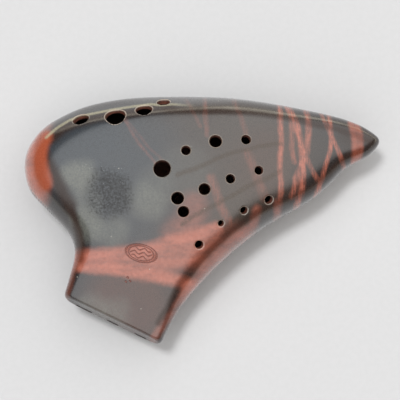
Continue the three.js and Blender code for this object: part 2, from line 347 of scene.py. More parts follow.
def window(voice, x, y, z):
    """The opening that one windway blows over, with room for its labium."""
    half = VOICES[voice][1] / 2 + GAP
    low = (-half, WINDWAY[2], WINDOW_BOTTOM)
    high = (half, WINDOW_END + LABIUM_LENGTH + GAP, GAP)
    return box_field(*to_voice(voice, x, y), z, low, high)


def shells(x, y, z):
    """Both half shells, with their holes, hollow, windway pockets, slots and windows."""
    hollow = np.maximum(form(x, y, z, WALL), CHAMBER_START - to_mouth(x, y)[1])
    clay = np.maximum(outside(x, y, z), -hollow)
    clay = drilled(clay, x, y, z)
    for voice in VOICES:
        clay = smooth_max(clay, -slot(voice, x, y, z), SLOT_ROUNDING)
        clay = np.maximum(clay, -pocket(voice, x, y, z))
        clay = smooth_max(clay, -window(voice, x, y, z), WINDOW_ROUNDING)
    return clay


def labium(voice):
    """The wedge that splits the air, under the outside of the body."""
    half = VOICES[voice][1] / 2

    def field(x, y, z):
        u, v = to_voice(voice, x, y)
        wedge = np.abs(u) - half
        corners = LABIUM_PROFILE
        for (v0, z0), (v1, z1) in zip(corners, corners[1:] + corners[:1]):
            length = math.hypot(v1 - v0, z1 - z0)
            plane = ((v - v0) * (z1 - z0) - (z - z0) * (v1 - v0)) / length
            wedge = smooth_max(wedge, plane, LABIUM_ROUNDING)
        return smooth_max(wedge, outside(x, y, z), LABIUM_TOP_ROUNDING)

    return field


# ---- Meshes from the field ----

def even_steps(low, high, step):
    return np.linspace(low, high, 1 + round((high - low) / step))


def crossings(values, axis):
    """The values at both ends of each grid edge along an axis, and which edges cross zero."""
    near = [slice(None)] * 3
    far = [slice(None)] * 3
    near[axis], far[axis] = slice(0, -1), slice(1, None)
    first, second = values[tuple(near)], values[tuple(far)]
    return first, second, (first < 0) != (second < 0)


def net_vertices(values, axes):
    """The vertices of a surface net, and the number of the one in each cell, or -1."""
    cells = tuple(n - 1 for n in values.shape)
    total = np.zeros(cells + (3,))
    count = np.zeros(cells)
    for axis in range(3):
        first, second, crossed = crossings(values, axis)
        spot = np.where(crossed, first / np.where(crossed, first - second, 1), 0)
        others = [k for k in range(3) if k != axis]
        for shift in ((0, 0), (0, 1), (1, 0), (1, 1)):
            part = [slice(None)] * 3
            for k, s in zip(others, shift):
                part[k] = slice(s, s + cells[k])
            hit = crossed[tuple(part)]
            count += hit
            total[..., axis] += spot[tuple(part)] * hit
            for k, s in zip(others, shift):
                total[..., k] += s * hit
    active = count > 0
    index_of = np.full(cells, -1)
    index_of[active] = np.arange(active.sum())
    corner = np.argwhere(active)
    share = total[active] / count[active][:, None]
    vertices = np.empty(share.shape)
    for k, ticks in enumerate(axes):
        start, end = ticks[corner[:, k]], ticks[corner[:, k] + 1]
        vertices[:, k] = start + share[:, k] * (end - start)
    return vertices, index_of


def net_quads(values, index_of, axis):
    """A quad of a surface net round each crossed edge along an axis, facing out of the clay."""
    first, _, crossed = crossings(values, axis)
    j, k = [(1, 2), (2, 0), (0, 1)][axis]
    spots = np.argwhere(crossed)
    keep = (spots[:, j] > 0) & (spots[:, k] > 0)
    keep &= (spots[:, j] < index_of.shape[j]) & (spots[:, k] < index_of.shape[k])
    spots = spots[keep]
    ring = []
    for dj, dk in ((0, 0), (-1, 0), (-1, -1), (0, -1)):
        cell = spots.copy()
        cell[:, j] += dj
        cell[:, k] += dk
        ring.append(index_of[tuple(cell.T)])
    ring = np.stack(ring, axis=1)
    leaving = first[tuple(spots.T)] < 0
    ring[~leaving] = ring[~leaving][:, ::-1]
    return ring


def surface_net(field, axes):
    """One vertex in each grid cell that the surface crosses, and a quad on each crossed edge."""
    x, y, z = np.meshgrid(*axes, indexing="ij")
    values = field(x.ravel(), y.ravel(), z.ravel()).reshape(x.shape)
    vertices, index_of = net_vertices(values, axes)
    quads = [net_quads(values, index_of, axis) for axis in range(3)]
    return vertices, np.concatenate(quads)


def gradient(field, points, step=0.05):
    slopes = []
    for axis in range(3):
        shift = np.zeros(3)
        shift[axis] = step
        slopes.append(field(*(points + shift).T) - field(*(points - shift).T))
    return np.stack(slopes, axis=1) / (2 * step)


def settle(field, points, limit):
    """Moves points onto the surface in short steps, and puts back those that went too far."""
    start = points.copy()
    for _ in range(3):
        slope = gradient(field, points)
        square = np.maximum((slope**2).sum(axis=1, keepdims=True), 0.05)
        move = -field(*points.T)[:, None] * slope / square
        length = np.linalg.norm(move, axis=1, keepdims=True)
        points = points + move * np.minimum(1, limit / np.maximum(length, 1e-9))
    drift = np.linalg.norm(points - start, axis=1, keepdims=True)
    return np.where(drift < 2 * limit, points, start)


def split_level(mesh, side):
    """Keeps the half of a mesh on one side of the seam, and closes it there."""
    work = bmesh.new()
    work.from_mesh(mesh)
    everything = list(work.verts) + list(work.edges) + list(work.faces)
    bmesh.ops.bisect_plane(
        work, geom=everything, dist=1e-6, plane_co=(0, 0, 0), plane_no=(0, 0, -side),
        clear_outer=True)
    rim = [e for e in work.edges if e.is_boundary]
    bmesh.ops.triangle_fill(work, use_beauty=False, edges=rim, normal=(0, 0, -side))
    work.to_mesh(mesh)
    work.free()


def to_model(points):
    return (points + SEAM_ORIGIN) / 1000


def plain_mesh(name, vertices, faces):
    mesh = bpy.data.meshes.new(name)
    mesh.from_pydata(vertices.tolist(), [], faces.tolist())
    mesh.update()
    return mesh


def read_all(items, name, kind=float, width=1):
    """One property of all vertices, corners or faces, as an array."""
    values = np.empty(len(items) * width, kind)
    items.foreach_get(name, values)
    return values.reshape(-1, width) if width > 1 else values


def add_masks(mesh, points):
    """Marks how far each vertex is burnished skin, and how far it gets painted shade in holes and
    slots.
    """
    depth = -outside(*points.T)
    beside_slot = smoothstep(slot_distance(*points.T), *SLOT_SKIN)
    masks = {
        "skin": smoothstep(depth, *SKIN_DEPTHS) * beside_slot,
        # painted shade: deep in the holes, and in the windway slots
        "recess_shade": np.maximum(smoothstep(depth, *RECESS_SHADE_DEPTHS), 1 - beside_slot),
    }
    for mask, values in masks.items():
        mesh.attributes.new(mask, "FLOAT", "POINT").data.foreach_set("value", values)


def add_normals(mesh, normals):
    """Shades a mesh with the normals of its vertices, except on faces that lie far off them."""
    corner_normals = normals[read_all(mesh.loops, "vertex_index", int)]
    sizes = read_all(mesh.polygons, "loop_total", int)
    face_normals = np.repeat(read_all(mesh.polygons, "normal", width=3), sizes, axis=0)
    turned_away = (corner_normals * face_normals).sum(axis=1) < 0.5
    corner_normals[turned_away] = face_normals[turned_away]
    mesh.polygons.foreach_set("use_smooth", np.ones(len(mesh.polygons), bool))
    mesh.normals_split_custom_set(corner_normals.tolist())


def finish_piece(name, mesh, field, material):
    """Gives a mesh its masks and normals, and puts it in place of the CAD piece of its name."""
    points = read_all(mesh.vertices, "co", width=3)
    slope = gradient(field, points)
    normals = slope / np.maximum(np.linalg.norm(slope, axis=1, keepdims=True), 1e-9)
    add_masks(mesh, points)
    mesh.vertices.foreach_set("co", to_model(points).ravel())
    mesh.update()
    add_normals(mesh, normals)
    mesh.materials.append(material)
    piece = bpy.data.objects.new(f"{name}_clay", mesh)
    bpy.context.scene.collection.objects.link(piece)
    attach(piece, "root")
    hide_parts(name)


def build_shells(material):
    heights = [
        even_steps(GRID_Z[0], SLOT_SPAN[0], VOXEL),
        even_steps(*SLOT_SPAN, SLOT_STEP)[1:-1],
        even_steps(SLOT_SPAN[1], GRID_Z[1], VOXEL),
    ]
    axes = [even_steps(*GRID_X, VOXEL), even_steps(*GRID_Y, VOXEL), np.concatenate(heights)]
    vertices, quads = surface_net(shells, axes)
    vertices = settle(shells, vertices, VOXEL)
    for name, side in (("front_shell", 1), ("back_shell", -1)):
        mesh = plain_mesh(f"{name}_clay", vertices, quads)
        split_level(mesh, side)
        finish_piece(name, mesh, shells, material)


def build_labium(voice, material):
    name = f"labium_{voice}"
    low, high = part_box(name)
    margin = 2 * FINE_VOXEL
    low = np.array(low) * 1000 - SEAM_ORIGIN - margin
    high = np.array(high) * 1000 - SEAM_ORIGIN + margin
    field = labium(voice)
    axes = [even_steps(a, b, FINE_VOXEL) for a, b in zip(low, high)]
    vertices, quads = surface_net(field, axes)
    vertices = settle(field, vertices, FINE_VOXEL)
    finish_piece(name, plain_mesh(f"{name}_clay", vertices, quads), field, material)


# ---- Materials ----

class Tree:
    """Short ways to add shader nodes to a node tree, and join them."""

    def __init__(self, tree):
        self.tree = tree
        self.shader = tree.nodes.get("Principled BSDF")

    def add(self, kind, inputs=None, **settings):
        node = self.tree.nodes.new("ShaderNode" + kind)
        for key, value in settings.items():
            setattr(node, key, value)
        for key, value in (inputs or {}).items():
            self.join(value, node.inputs[key])
        return node

    def join(self, value, socket):
        if isinstance(value, bpy.types.NodeSocket):
            self.tree.links.new(value, socket)
        else:
            socket.default_value = value

    def math(self, operation, *values):
        node = self.add("Math", operation=operation)
        for i, value in enumerate(values):
            self.join(value, node.inputs[i])
        return node.outputs[0]

    def vector(self, operation, *values, output=0):
        node = self.add("VectorMath", operation=operation)
        for i, value in enumerate(values):
            self.join(value, node.inputs[i])
        return node.outputs[output]

    def parts(self, vector):
        return self.add("SeparateXYZ", {"Vector": vector}).outputs

    def noise(self, position, scale, detail=2.0, roughness=0.5, stretch=None):
        if stretch is not None:
            position = self.vector("MULTIPLY", position, stretch)
        inputs = {"Vector": position, "Scale": scale, "Detail": detail, "Roughness": roughness}
        return self.add("TexNoise", inputs).outputs["Fac"]

    def ramp(self, value, low, high, to_low=0.0, to_high=1.0):
        inputs = {
            "Value": value, "From Min": low, "From Max": high,
            "To Min": to_low, "To Max": to_high,
        }
        return self.add("MapRange", inputs, interpolation_type="SMOOTHSTEP").outputs["Result"]

    def mix(self, amount, first, second):
        node = self.add("Mix", data_type="RGBA")
        self.join(amount, node.inputs["Factor"])
        self.join(first, node.inputs[6])
        self.join(second, node.inputs[7])
        return node.outputs[2]

    def strongest(self, masks):
        """The highest of several masks."""
        top, *others = masks
        for mask in others:
            top = self.math("MAXIMUM", top, mask)
        return top


def new_material(name):
    material = bpy.data.materials.new(name)
    material.use_nodes = True
    return material, Tree(material.node_tree)


def rgb(red, green, blue):
    """A colour given as it looks on a screen, from 0 to 255, as linear light."""
    channels = []
    for value in (red, green, blue):
        value /= 255
        low = value / 12.92
        channels.append(low if value <= 0.04045 else ((value + 0.055) / 1.055) ** 2.4)
    return (*channels, 1.0)


# Colours of the smoked ground, of what lies on it, of painted light and shade on it, and of the
# clay in the holes.
COOL_SMOKE = rgb(44, 48, 53)
WARM_SMOKE = rgb(56, 47, 41)
RUDDY_SMOKE = rgb(66, 42, 35)
# darker towards the tail tip
TAIL_TIP_DARKER = rgb(34, 29, 28)
# darker low on the flanks
LOW_FLANK_DARKER = rgb(33, 27, 26)
MOTTLE_SMOKE = rgb(28, 26, 25)
# painted dark reflection, on a patch of the face
DARK_REFLECTION_GREY = rgb(30, 29, 29)
# painted highlights round that patch and by the mouthpiece
HIGHLIGHT_GREY = rgb(92, 93, 86)
# painted dark reflections along the shoulders, and the red flashes under them
DARK_REFLECTION_BROWN = rgb(42, 29, 24)
RED_UNDER_DARK_REFLECTION = rgb(104, 50, 34)
LIGHT_RED = rgb(166, 99, 82)
DARK_RED = rgb(150, 82, 64)
HOT_RED = rgb(140, 68, 44)
# painted pale reflection line on the shoulder
PALE_REFLECTION = rgb(160, 154, 126)
WALL_BROWN = rgb(50, 36, 20)
MARK_GROUND = rgb(150, 78, 58)
MARK_LINES = rgb(96, 40, 26)
STROKES = rgb(20, 15, 14)
DUST = rgb(170, 165, 155)
# worn rims round the holes, with painted highlights on them
WORN_AND_HIGHLIGHT_RIM = rgb(176, 160, 146)
BARE_DARK = rgb(66, 33, 24)
BARE_LIGHT = rgb(98, 54, 40)
# painted shade deep in the holes and slots
RECESS_SHADE_COLOUR = rgb(22, 15, 13)
# Colours of the pieces inside.
RAW_LIGHT = rgb(46, 26, 20)
RAW_DARK = rgb(34, 20, 17)
GRIT = rgb(22, 16, 14)
PAPER_TONES = ((0.445, 0.445, 0.45, 1), (0.455, 0.455, 0.46, 1))

STREAK_CORE = 0.15  # the share of a streak's width that is at full strength


def streak_group():
    """A node group: a soft band between two points, 1 in its middle and 0 past its width."""
    group = bpy.data.node_groups.new("streak", "ShaderNodeTree")
    for name in ("Position", "Start", "End"):
        group.interface.new_socket(name, in_out="INPUT", socket_type="NodeSocketVector")
    group.interface.new_socket("Width", in_out="INPUT", socket_type="NodeSocketFloat")
    group.interface.new_socket("Mask", in_out="OUTPUT", socket_type="NodeSocketFloat")
    tree = Tree(group)
    entry = group.nodes.new("NodeGroupInput").outputs
    leave = group.nodes.new("NodeGroupOutput").inputs
    span = tree.vector("SUBTRACT", entry["End"], entry["Start"])
    offset = tree.vector("SUBTRACT", entry["Position"], entry["Start"])
    reach = tree.vector("DOT_PRODUCT", offset, span, output="Value")
    square = tree.vector("DOT_PRODUCT", span, span, output="Value")
    share = tree.math("DIVIDE", reach, square)
    share = tree.math("MINIMUM", tree.math("MAXIMUM", share, 0.0), 1.0)
    nearest = tree.add("VectorMath", {0: span, "Scale": share}, operation="SCALE").outputs[0]
    away = tree.vector("DISTANCE", offset, nearest, output="Value")
    core = tree.math("MULTIPLY", entry["Width"], STREAK_CORE)
    tree.join(tree.ramp(away, core, entry["Width"], 1.0, 0.0), leave["Mask"])
    return group


# Places in millimetres in the working frame, seen from the finger-hole side. What they mark goes
# straight through to the back, apart from the hottest flash and the painted dark reflections on
# the shoulders.
# Flashes left by the fire: points along a band, its half width, its strength.
NARROW_FLASHES = [
    ([(52.5, 56), (51.5, 39), (51, 30), (49.4, 19), (48.7, 10), (48.5, 0), (48, -8)], 2.7, 0.8),
    ([(59.5, 54), (58, 33), (57, 23), (58.2, 15)], 2.5, 0.45),
    ([(56, 56), (58, 49), (61.3, 37), (62.6, 28), (63, 18), (62.5, 9), (61.5, -1), (58, -10)],
     3.0, 0.9),
    ([(68.5, 50), (68, 33), (67.2, 27), (65.4, 21), (61.6, 12), (58.3, 6), (55.5, -4)], 3.0, 0.7),
    ([(65.7, 17), (68.7, 9.7), (72, 3), (73, -4)], 2.4, 0.55),
    ([(83, 50), (82, 32), (80.5, 24), (77.3, 14), (74.3, 5.5), (70, -4)], 2.2, 0.95),
    ([(78, 48), (79.4, 37.5), (81.8, 31)], 2.0, 0.6),
    ([(82.5, 30), (86, 20), (89.5, 12)], 2.3, 0.8),
    ([(-43, 50), (-34, 32), (-24.5, 18)], 1.4, 0.2),
    ([(-42, 50), (-30, 31), (-21, 20)], 1.4, 0.12),
    ([(7.3, 60), (6.5, 34)], 2.2, 0.24),
    ([(-4, 60), (3, 40)], 2.0, 0.14),
    ([(25, 58), (30, 35)], 2.6, 0.18),
    ([(7, 8), (12, -10), (19, -24)], 4.2, 0.3),
    ([(30, 22), (34, 8), (38, -5)], 4.4, 0.2),
]
WIDE_FLASHES = [
    ([(95.5, 46), (96.4, 29.4), (96.2, 23), (95.3, 12)], 3.4, 0.9),
    ([(99, 46), (99.8, 29.4), (99.3, 23), (97.5, 14)], 3.2, 0.85),
    ([(-84, -28.5), (-56, -31.5), (-32, -31), (-11, -26), (8, -22)], 6.0, 0.75),
    ([(-84, -34), (-57, -39.5), (-33, -45.5), (-8, -53)], 6.0, 0.85),
    ([(-84, -31), (-56, -35), (-30, -38), (-4, -38)], 9.0, 0.55),
    ([(-34, -40), (-12, -36), (4, -32)], 13.0, 0.45),
    ([(-13, -60), (-8, -54), (1, -45), (11, -36), (20, -28.5), (28, -24)], 6.5, 0.65),
    ([(46, -16), (46.5, -8)], 4.0, 0.5),
    ([(31, -20), (33, -12)], 4.5, 0.45),
    ([(-97, 50), (-102, 36), (-103, 24), (-100, 10)], 14.0, 1.0),
    ([(-16, -24), (-8, -18), (-4, -8)], 13.0, 0.35),
    ([(-5, -30), (20, -24)], 10.0, 0.25),
    ([(-86, -58), (-78, -28)], 4.0, 0.4),
    ([(-38, -88), (-12, -56)], 4.0, 0.35),
]
# The hottest flash, on the shoulder of the blunt end.
HOT_FLASHES = [([(-91, 42), (-93, 36), (-94, 29), (-94, 21), (-92, 14)], 8.0, 1.0)]
# Faint brown lines over the walls inside.
WALL_LINES = [
    [(-12, 11), (4.7, 16.1), (15.8, 21), (26.6, 23.5), (36, 25), (50, 27)],
    [(-12, -18), (-5, -14), (7.1, -8.9), (21.2, -2.4), (34.7, 4.1), (48, 10)],
]
# Patches: middle, radius, strength. Pale ones are painted highlights, one is a painted dark
# reflection on clay that is also burnished dull, and some are ruddy.
HIGHLIGHT_PATCHES = [
    ((-72, 16), 14, 1.0), ((-67, 2), 14, 0.6), ((-68, -12), 14, 1.0), ((-52, -18), 14, 0.6),
    ((-32, -3), 16, 0.7), ((-25, 7), 15, 0.35), ((-8, 14), 22, 0.25), ((-68, -62), 14, 0.5),
    ((-56, -68), 13, 0.5),
]
DULL_DARK_REFLECTION_PATCHES = [((-54, 2), 23, 0.75), ((-49, 3), 15, 0.6), ((-58, 12), 12, 0.4)]
RUDDY_PATCHES = [((-48, -60), 42, 1.0), ((-5, -30), 30, 0.5), ((45, 15), 32, 0.35)]
# Painted dark reflections along the shoulders, where the clay is also less burnished: points of
# each path, half width, strength.
DARK_REFLECTION_PATHS = [
    ([(-30, -74), (-22, -61.5), (-15.5, -51.5), (-6, -42), (4.5, -33.3), (15.5, -24.3),
      (26.7, -17.4), (37, -12), (47.5, -7.6), (57.8, -4.5), (68, 0), (77, 7), (86, 14.5),
      (92, 19), (99, 22.5)], 3.4, 0.85),
    ([(-91, 29), (-88.3, 22.8), (-85.2, 15.3), (-81.6, 7.7), (-78, -0.5)], 7.0, 0.95),
    ([(-78, -0.5), (-75.7, -8.4), (-74, -16.8), (-73.5, -24.4), (-74.2, -32)], 4.2, 0.95),
    ([(-75, -28), (-79, -40), (-83.5, -52)], 2.5, 0.6),
    ([(-87, 41), (-80, 46), (-73, 49), (-62, 51), (-44, 52.5), (-26, 54.5), (-15, 54.5)],
     6.5, 0.9),
    ([(-17, 54), (3, 51), (33, 47.5), (56, 43), (85, 36), (96, 32), (105, 28)], 3.6, 0.85),
    ([(94, 33), (113, 28)], 14.0, 0.5),
]
# A painted pale reflection line along the shoulder over the holes there.
PALE_REFLECTION_PATH = [
    (-89.6, 41.5), (-83.1, 47), (-75.6, 51.4), (-69.4, 53.6), (-63.4, 54.4), (-56.1, 55.3),
    (-48.8, 56.3), (-41.5, 57), (-33, 57.7), (-25.8, 58.2), (-19.9, 56.8), (-12.6, 56.8),
    (-4.9, 55.3), (4, 54.2),
]
MAKER_MARK = ((-37.4, -33.0), math.radians(-18))  # middle and turn
MARK_HALF_SIZE = (9.4, 5.0)
DOT_MARK = (-46.5, -47.4)
DOT_RING = 1.5  # the distance of its dots from its middle
SIDE_MARK = ((-100.0, 10.7), (-91.6, -0.4))  # both ends of its row
STROKE_PITCH = 1.9
PALE_REFLECTION_WIDTH = 1.7
WALL_WIDTH = 2.4
GROOVE_DEPTH = 0.3  # millimetres


def flat_position(tree):
    """The place on the instrument in millimetres in the working frame."""
    place = tree.add("TexCoord").outputs["Object"]
    scaled = tree.vector("MULTIPLY", place, (1000, 1000, 1000))
    return tree.vector("SUBTRACT", scaled, tuple(SEAM_ORIGIN))


def warped(tree, position, amount, scale):
    noise = tree.add("TexNoise", {"Vector": position, "Scale": scale, "Detail": 2.0})
    centred = tree.vector("SUBTRACT", noise.outputs["Color"], (0.5, 0.5, 0.5))
    shift = tree.vector("MULTIPLY", centred, (amount, amount, amount))
    return tree.vector("ADD", position, shift)


def band(tree, group, position, points, width):
    """A mask along a row of points, the strongest of its stretches."""
    stretches = []
    for start, end in zip(points, points[1:]):
        ends = {"Position": position, "Start": (*start, 0), "End": (*end, 0), "Width": width}
        stretches.append(tree.add("Group", ends, node_tree=group).outputs[0])
    return tree.strongest(stretches)


def bands(tree, group, position, table):
    """Several bands over each other, as thin coats of the same stain."""
    clear = 1.0
    for points, width, strength in table:
        mask = band(tree, group, position, points, width)
        left = tree.math("MULTIPLY_ADD", mask, -strength, 1.0)
        clear = tree.math("MULTIPLY", clear, left)
    return tree.math("SUBTRACT", 1.0, clear)


def patches(tree, position, table):
    """Several round patches with soft edges over each other."""
    clear = 1.0
    for middle, radius, strength in table:
        distance = tree.vector("DISTANCE", position, (*middle, 0), output="Value")
        left = tree.ramp(distance, radius * 0.35, radius, 1 - strength, 1.0)
        clear = tree.math("MULTIPLY", clear, left)
    return tree.math("SUBTRACT", 1.0, clear)


def specks(tree, position, spacing, radius, share):
    """Small round dots, scattered with a spacing, in a share of the cells."""
    inputs = {"Vector": position, "Scale": 1 / spacing, "Randomness": 1.0}
    cells = tree.add("TexVoronoi", inputs)
    dot = tree.ramp(cells.outputs["Distance"], radius * 0.6 / spacing, radius / spacing, 1.0, 0.0)
    pick = tree.parts(cells.outputs["Color"])["X"]
    return tree.math("MULTIPLY", dot, tree.math("LESS_THAN", pick, share))


def turned(tree, position, middle, angle):
    """Two coordinates about a middle, along and across a direction."""
    offset = tree.vector("SUBTRACT", position, (*middle, 0))
    along = (math.cos(angle), math.sin(angle), 0)
    across = (-math.sin(angle), math.cos(angle), 0)
    u = tree.vector("DOT_PRODUCT", offset, along, output="Value")
    v = tree.vector("DOT_PRODUCT", offset, across, output="Value")
    return u, v


def line_mask(tree, distance, half_width):
    away = tree.math("ABSOLUTE", distance)
    return tree.ramp(away, half_width * 0.4, half_width * 1.5, 1.0, 0.0)


def to_nearest(tree, distance, pitch):
    """The distance to the nearest of many lines a pitch apart."""
    wrapped = tree.math("WRAP", tree.math("DIVIDE", distance, pitch), -0.5, 0.5)
    return tree.math("MULTIPLY", wrapped, pitch)


def maker_mark(tree, position):
    """An impressed oval with a double rim and three waves in it: line mask and area mask."""
    u, v = turned(tree, position, *MAKER_MARK)
    shares = {
        "X": tree.math("DIVIDE", u, MARK_HALF_SIZE[0]),
        "Y": tree.math("DIVIDE", v, MARK_HALF_SIZE[1]),
    }
    oval = tree.vector("LENGTH", tree.add("CombineXYZ", shares).outputs[0], output="Value")
    rim = line_mask(tree, tree.math("SUBTRACT", oval, 1.0), 0.055)
    inner_rim = line_mask(tree, tree.math("SUBTRACT", oval, 0.82), 0.045)
    swing = tree.math("MULTIPLY", tree.math("SINE", tree.math("MULTIPLY", u, 1.1)), 0.7)
    nearest = to_nearest(tree, tree.math("SUBTRACT", v, swing), 2.3)
    inside = tree.ramp(oval, 0.66, 0.76, 1.0, 0.0)
    waves = tree.math("MULTIPLY", line_mask(tree, nearest, 0.32), inside)
    return tree.strongest([rim, inner_rim, waves]), tree.ramp(oval, 0.95, 1.05, 1.0, 0.0)


def hole_rims(tree, place):
    """Thin pale rings round the holes: worn edges, with painted highlights on them."""
    rings = []
    for middle, axis, radius, dished in HOLES:
        offset = tree.vector("SUBTRACT", place, tuple(middle))
        away = tree.vector("CROSS_PRODUCT", offset, tuple(axis))
        away = tree.vector("LENGTH", away, output="Value")
        ring = line_mask(tree, tree.math("SUBTRACT", away, radius + 0.4), 0.26)
        reach = tree.vector("LENGTH", offset, output="Value")
        strength = 1.0 if dished else 0.4
        near = tree.ramp(reach, radius + 1.5, radius + 2.5, strength, 0.0)
        rings.append(tree.math("MULTIPLY", ring, near))
    return tree.strongest(rings)


def dot_mark(tree, position):
    """Three dots pricked in the mouthpiece."""
    dots = []
    for turn in range(3):
        angle = math.radians(90 + 120 * turn)
        x = DOT_MARK[0] + DOT_RING * math.cos(angle)
        y = DOT_MARK[1] + DOT_RING * math.sin(angle)
        distance = tree.vector("DISTANCE", position, (x, y, 0), output="Value")
        dots.append(tree.ramp(distance, 0.35, 0.85, 1.0, 0.0))
    return tree.strongest(dots)


def side_mark(tree, group, flat, height):
    """A row of short strokes pressed in the flank of the blunt end."""
    start, end = SIDE_MARK
    row = tree.ramp(band(tree, group, flat, [start, end], 4.5), 0.1, 0.5)
    middle = ((start[0] + end[0]) / 2, (start[1] + end[1]) / 2)
    angle = math.atan2(end[1] - start[1], end[0] - start[0])
    u, _ = turned(tree, flat, middle, angle)
    strokes = line_mask(tree, to_nearest(tree, u, STROKE_PITCH), 0.45)
    strokes = tree.math("MULTIPLY", row, strokes)
    return tree.math("MULTIPLY", strokes, tree.ramp(height, 5.0, 7.0, 1.0, 0.0))


def smoke_colour(tree, place, flat, clouds, mottle):
    """The smoked ground: cool on the blunt end, warm to the tail, ruddy on the mouthpiece."""
    x, _, height = tree.parts(place)
    drift = tree.math("MULTIPLY_ADD", clouds, 60.0, tree.math("SUBTRACT", x, 30.0))
    colour = tree.mix(tree.ramp(drift, -60.0, 25.0), COOL_SMOKE, WARM_SMOKE)
    ruddy = patches(tree, flat, RUDDY_PATCHES)
    colour = tree.mix(tree.math("MULTIPLY", ruddy, 0.85), colour, RUDDY_SMOKE)
    # darker towards the tail tip
    colour = tree.mix(tree.ramp(drift, 55.0, 85.0), colour, TAIL_TIP_DARKER)
    # darker low on the flanks, below the face, except on the ruddy patches
    on_face = tree.math("MAXIMUM", tree.ramp(height, 8.0, 24.0), ruddy)
    colour = tree.mix(on_face, LOW_FLANK_DARKER, colour)
    return tree.mix(tree.ramp(mottle, 0.45, 0.75, 0.0, 0.3), colour, MOTTLE_SMOKE)


def red_flashes(tree, group, wavy, ragged):
    """A mask over the red flashes: the narrow ones are fibrous and the wide ones wispy."""
    fibres = tree.noise(ragged, 1.0, 4.0, 0.6, stretch=(1.0, 0.12, 1.0))
    wisps = tree.noise(ragged, 0.16, 4.0, 0.6, stretch=(0.4, 1.3, 1.0))
    narrow = bands(tree, group, wavy, NARROW_FLASHES)
    narrow = tree.math("MULTIPLY", narrow, tree.ramp(fibres, 0.36, 0.62, 0.35, 0.95))
    wide = bands(tree, group, ragged, WIDE_FLASHES)
    wide = tree.math("MULTIPLY", wide, tree.ramp(wisps, 0.25, 0.62, 0.6, 1.0))
    return tree.math("MAXIMUM", narrow, wide)


def painted_reflections_and_dull_patch(tree, place, flat, wavy):
    """Peppered masks: a painted dark reflection on a dull patch, and painted highlights round it.
    """
    pepper = tree.math("MULTIPLY_ADD", tree.noise(place, 0.9, 3.0, 0.8), 5.0, -2.5)
    dark_reflection_patch = patches(tree, wavy, DULL_DARK_REFLECTION_PATCHES)
    dull_dark_reflection = tree.ramp(tree.math("MULTIPLY_ADD", dark_reflection_patch, 1.3, pepper), 0.2, 1.7, 0.0, 0.95)
    dull_dark_reflection = tree.math("MULTIPLY", dull_dark_reflection, tree.ramp(dark_reflection_patch, 0.0, 0.6))
    pale_highlight = patches(tree, warped(tree, flat, 14.0, 0.045), HIGHLIGHT_PATCHES)
    pale_highlight = tree.math("MULTIPLY", pale_highlight, tree.ramp(pepper, -1.0, 0.8, 0.35, 1.0))
    return dull_dark_reflection, tree.math("MULTIPLY", pale_highlight, tree.math("SUBTRACT", 1.0, dull_dark_reflection))


def pale_reflection_line(tree, group, flat, x):
    pale_reflection_mask = band(tree, group, flat, PALE_REFLECTION_PATH, PALE_REFLECTION_WIDTH)
    return tree.math("MULTIPLY", pale_reflection_mask, tree.ramp(x, -18.0, 4.0, 0.6, 0.0))


def wall_lines(tree, group, ragged, grain):
    lines = [band(tree, group, ragged, points, WALL_WIDTH) for points in WALL_LINES]
    return tree.math("MULTIPLY", tree.strongest(lines), tree.ramp(grain, 0.35, 0.6, 0.15, 0.8))


def end_face(tree, flat):
    """A mask over the band at the end of the mouthpiece."""
    _, along = turned(tree, flat, tuple(MOUTH), MOUTH_TURN)
    return tree.ramp(along, 3.5, 5.5, 0.85, 0.0)


def bare_clay(tree, mottle):
    """The clay under the skin, with painted shade deep in the holes."""
    recess_shade = tree.add("Attribute", attribute_name="recess_shade").outputs["Fac"]
    bare = tree.mix(tree.ramp(mottle, 0.3, 0.7), BARE_DARK, BARE_LIGHT)
    return tree.mix(recess_shade, bare, RECESS_SHADE_COLOUR)


def set_roughness(tree, mottle, grooves, dull_dark_reflection, skin):
    skin_rough = tree.ramp(mottle, 0.3, 0.8, 0.24, 0.33)
    skin_rough = tree.math("MAXIMUM", tree.math("MULTIPLY", grooves, 0.6), skin_rough)
    skin_rough = tree.math("MULTIPLY_ADD", dull_dark_reflection, 0.25, skin_rough)
    bare_rough = tree.ramp(skin, 0.0, 1.0, 0.8, 0.0)
    rough = tree.math("MAXIMUM", skin_rough, bare_rough)
    tree.join(rough, tree.shader.inputs["Roughness"])


def set_polish(tree, skin, unpolished):
    """A thin bright coat on the skin, all but gone where a mask is full."""
    polish = tree.math("MULTIPLY", skin, tree.math("MULTIPLY_ADD", unpolished, -0.9, 1.0))
    tree.join(polish, tree.shader.inputs["Coat Weight"])
    tree.shader.inputs["Coat Roughness"].default_value = 0.1
    tree.shader.inputs["IOR"].default_value = 1.55


def set_relief(tree, grooves, grain, mottle):
    """Grooves and grain, with their heights in millimetres."""
    relief = tree.math("MULTIPLY", grooves, -GROOVE_DEPTH)
    relief = tree.math("MULTIPLY_ADD", grain, 0.006, relief)
    relief = tree.math("MULTIPLY_ADD", mottle, 0.012, relief)
    bump = tree.add("Bump", {"Height": relief, "Distance": 0.001, "Strength": 1.0}).outputs[0]
    tree.join(bump, tree.shader.inputs["Normal"])
    tree.join(bump, tree.shader.inputs["Coat Normal"])


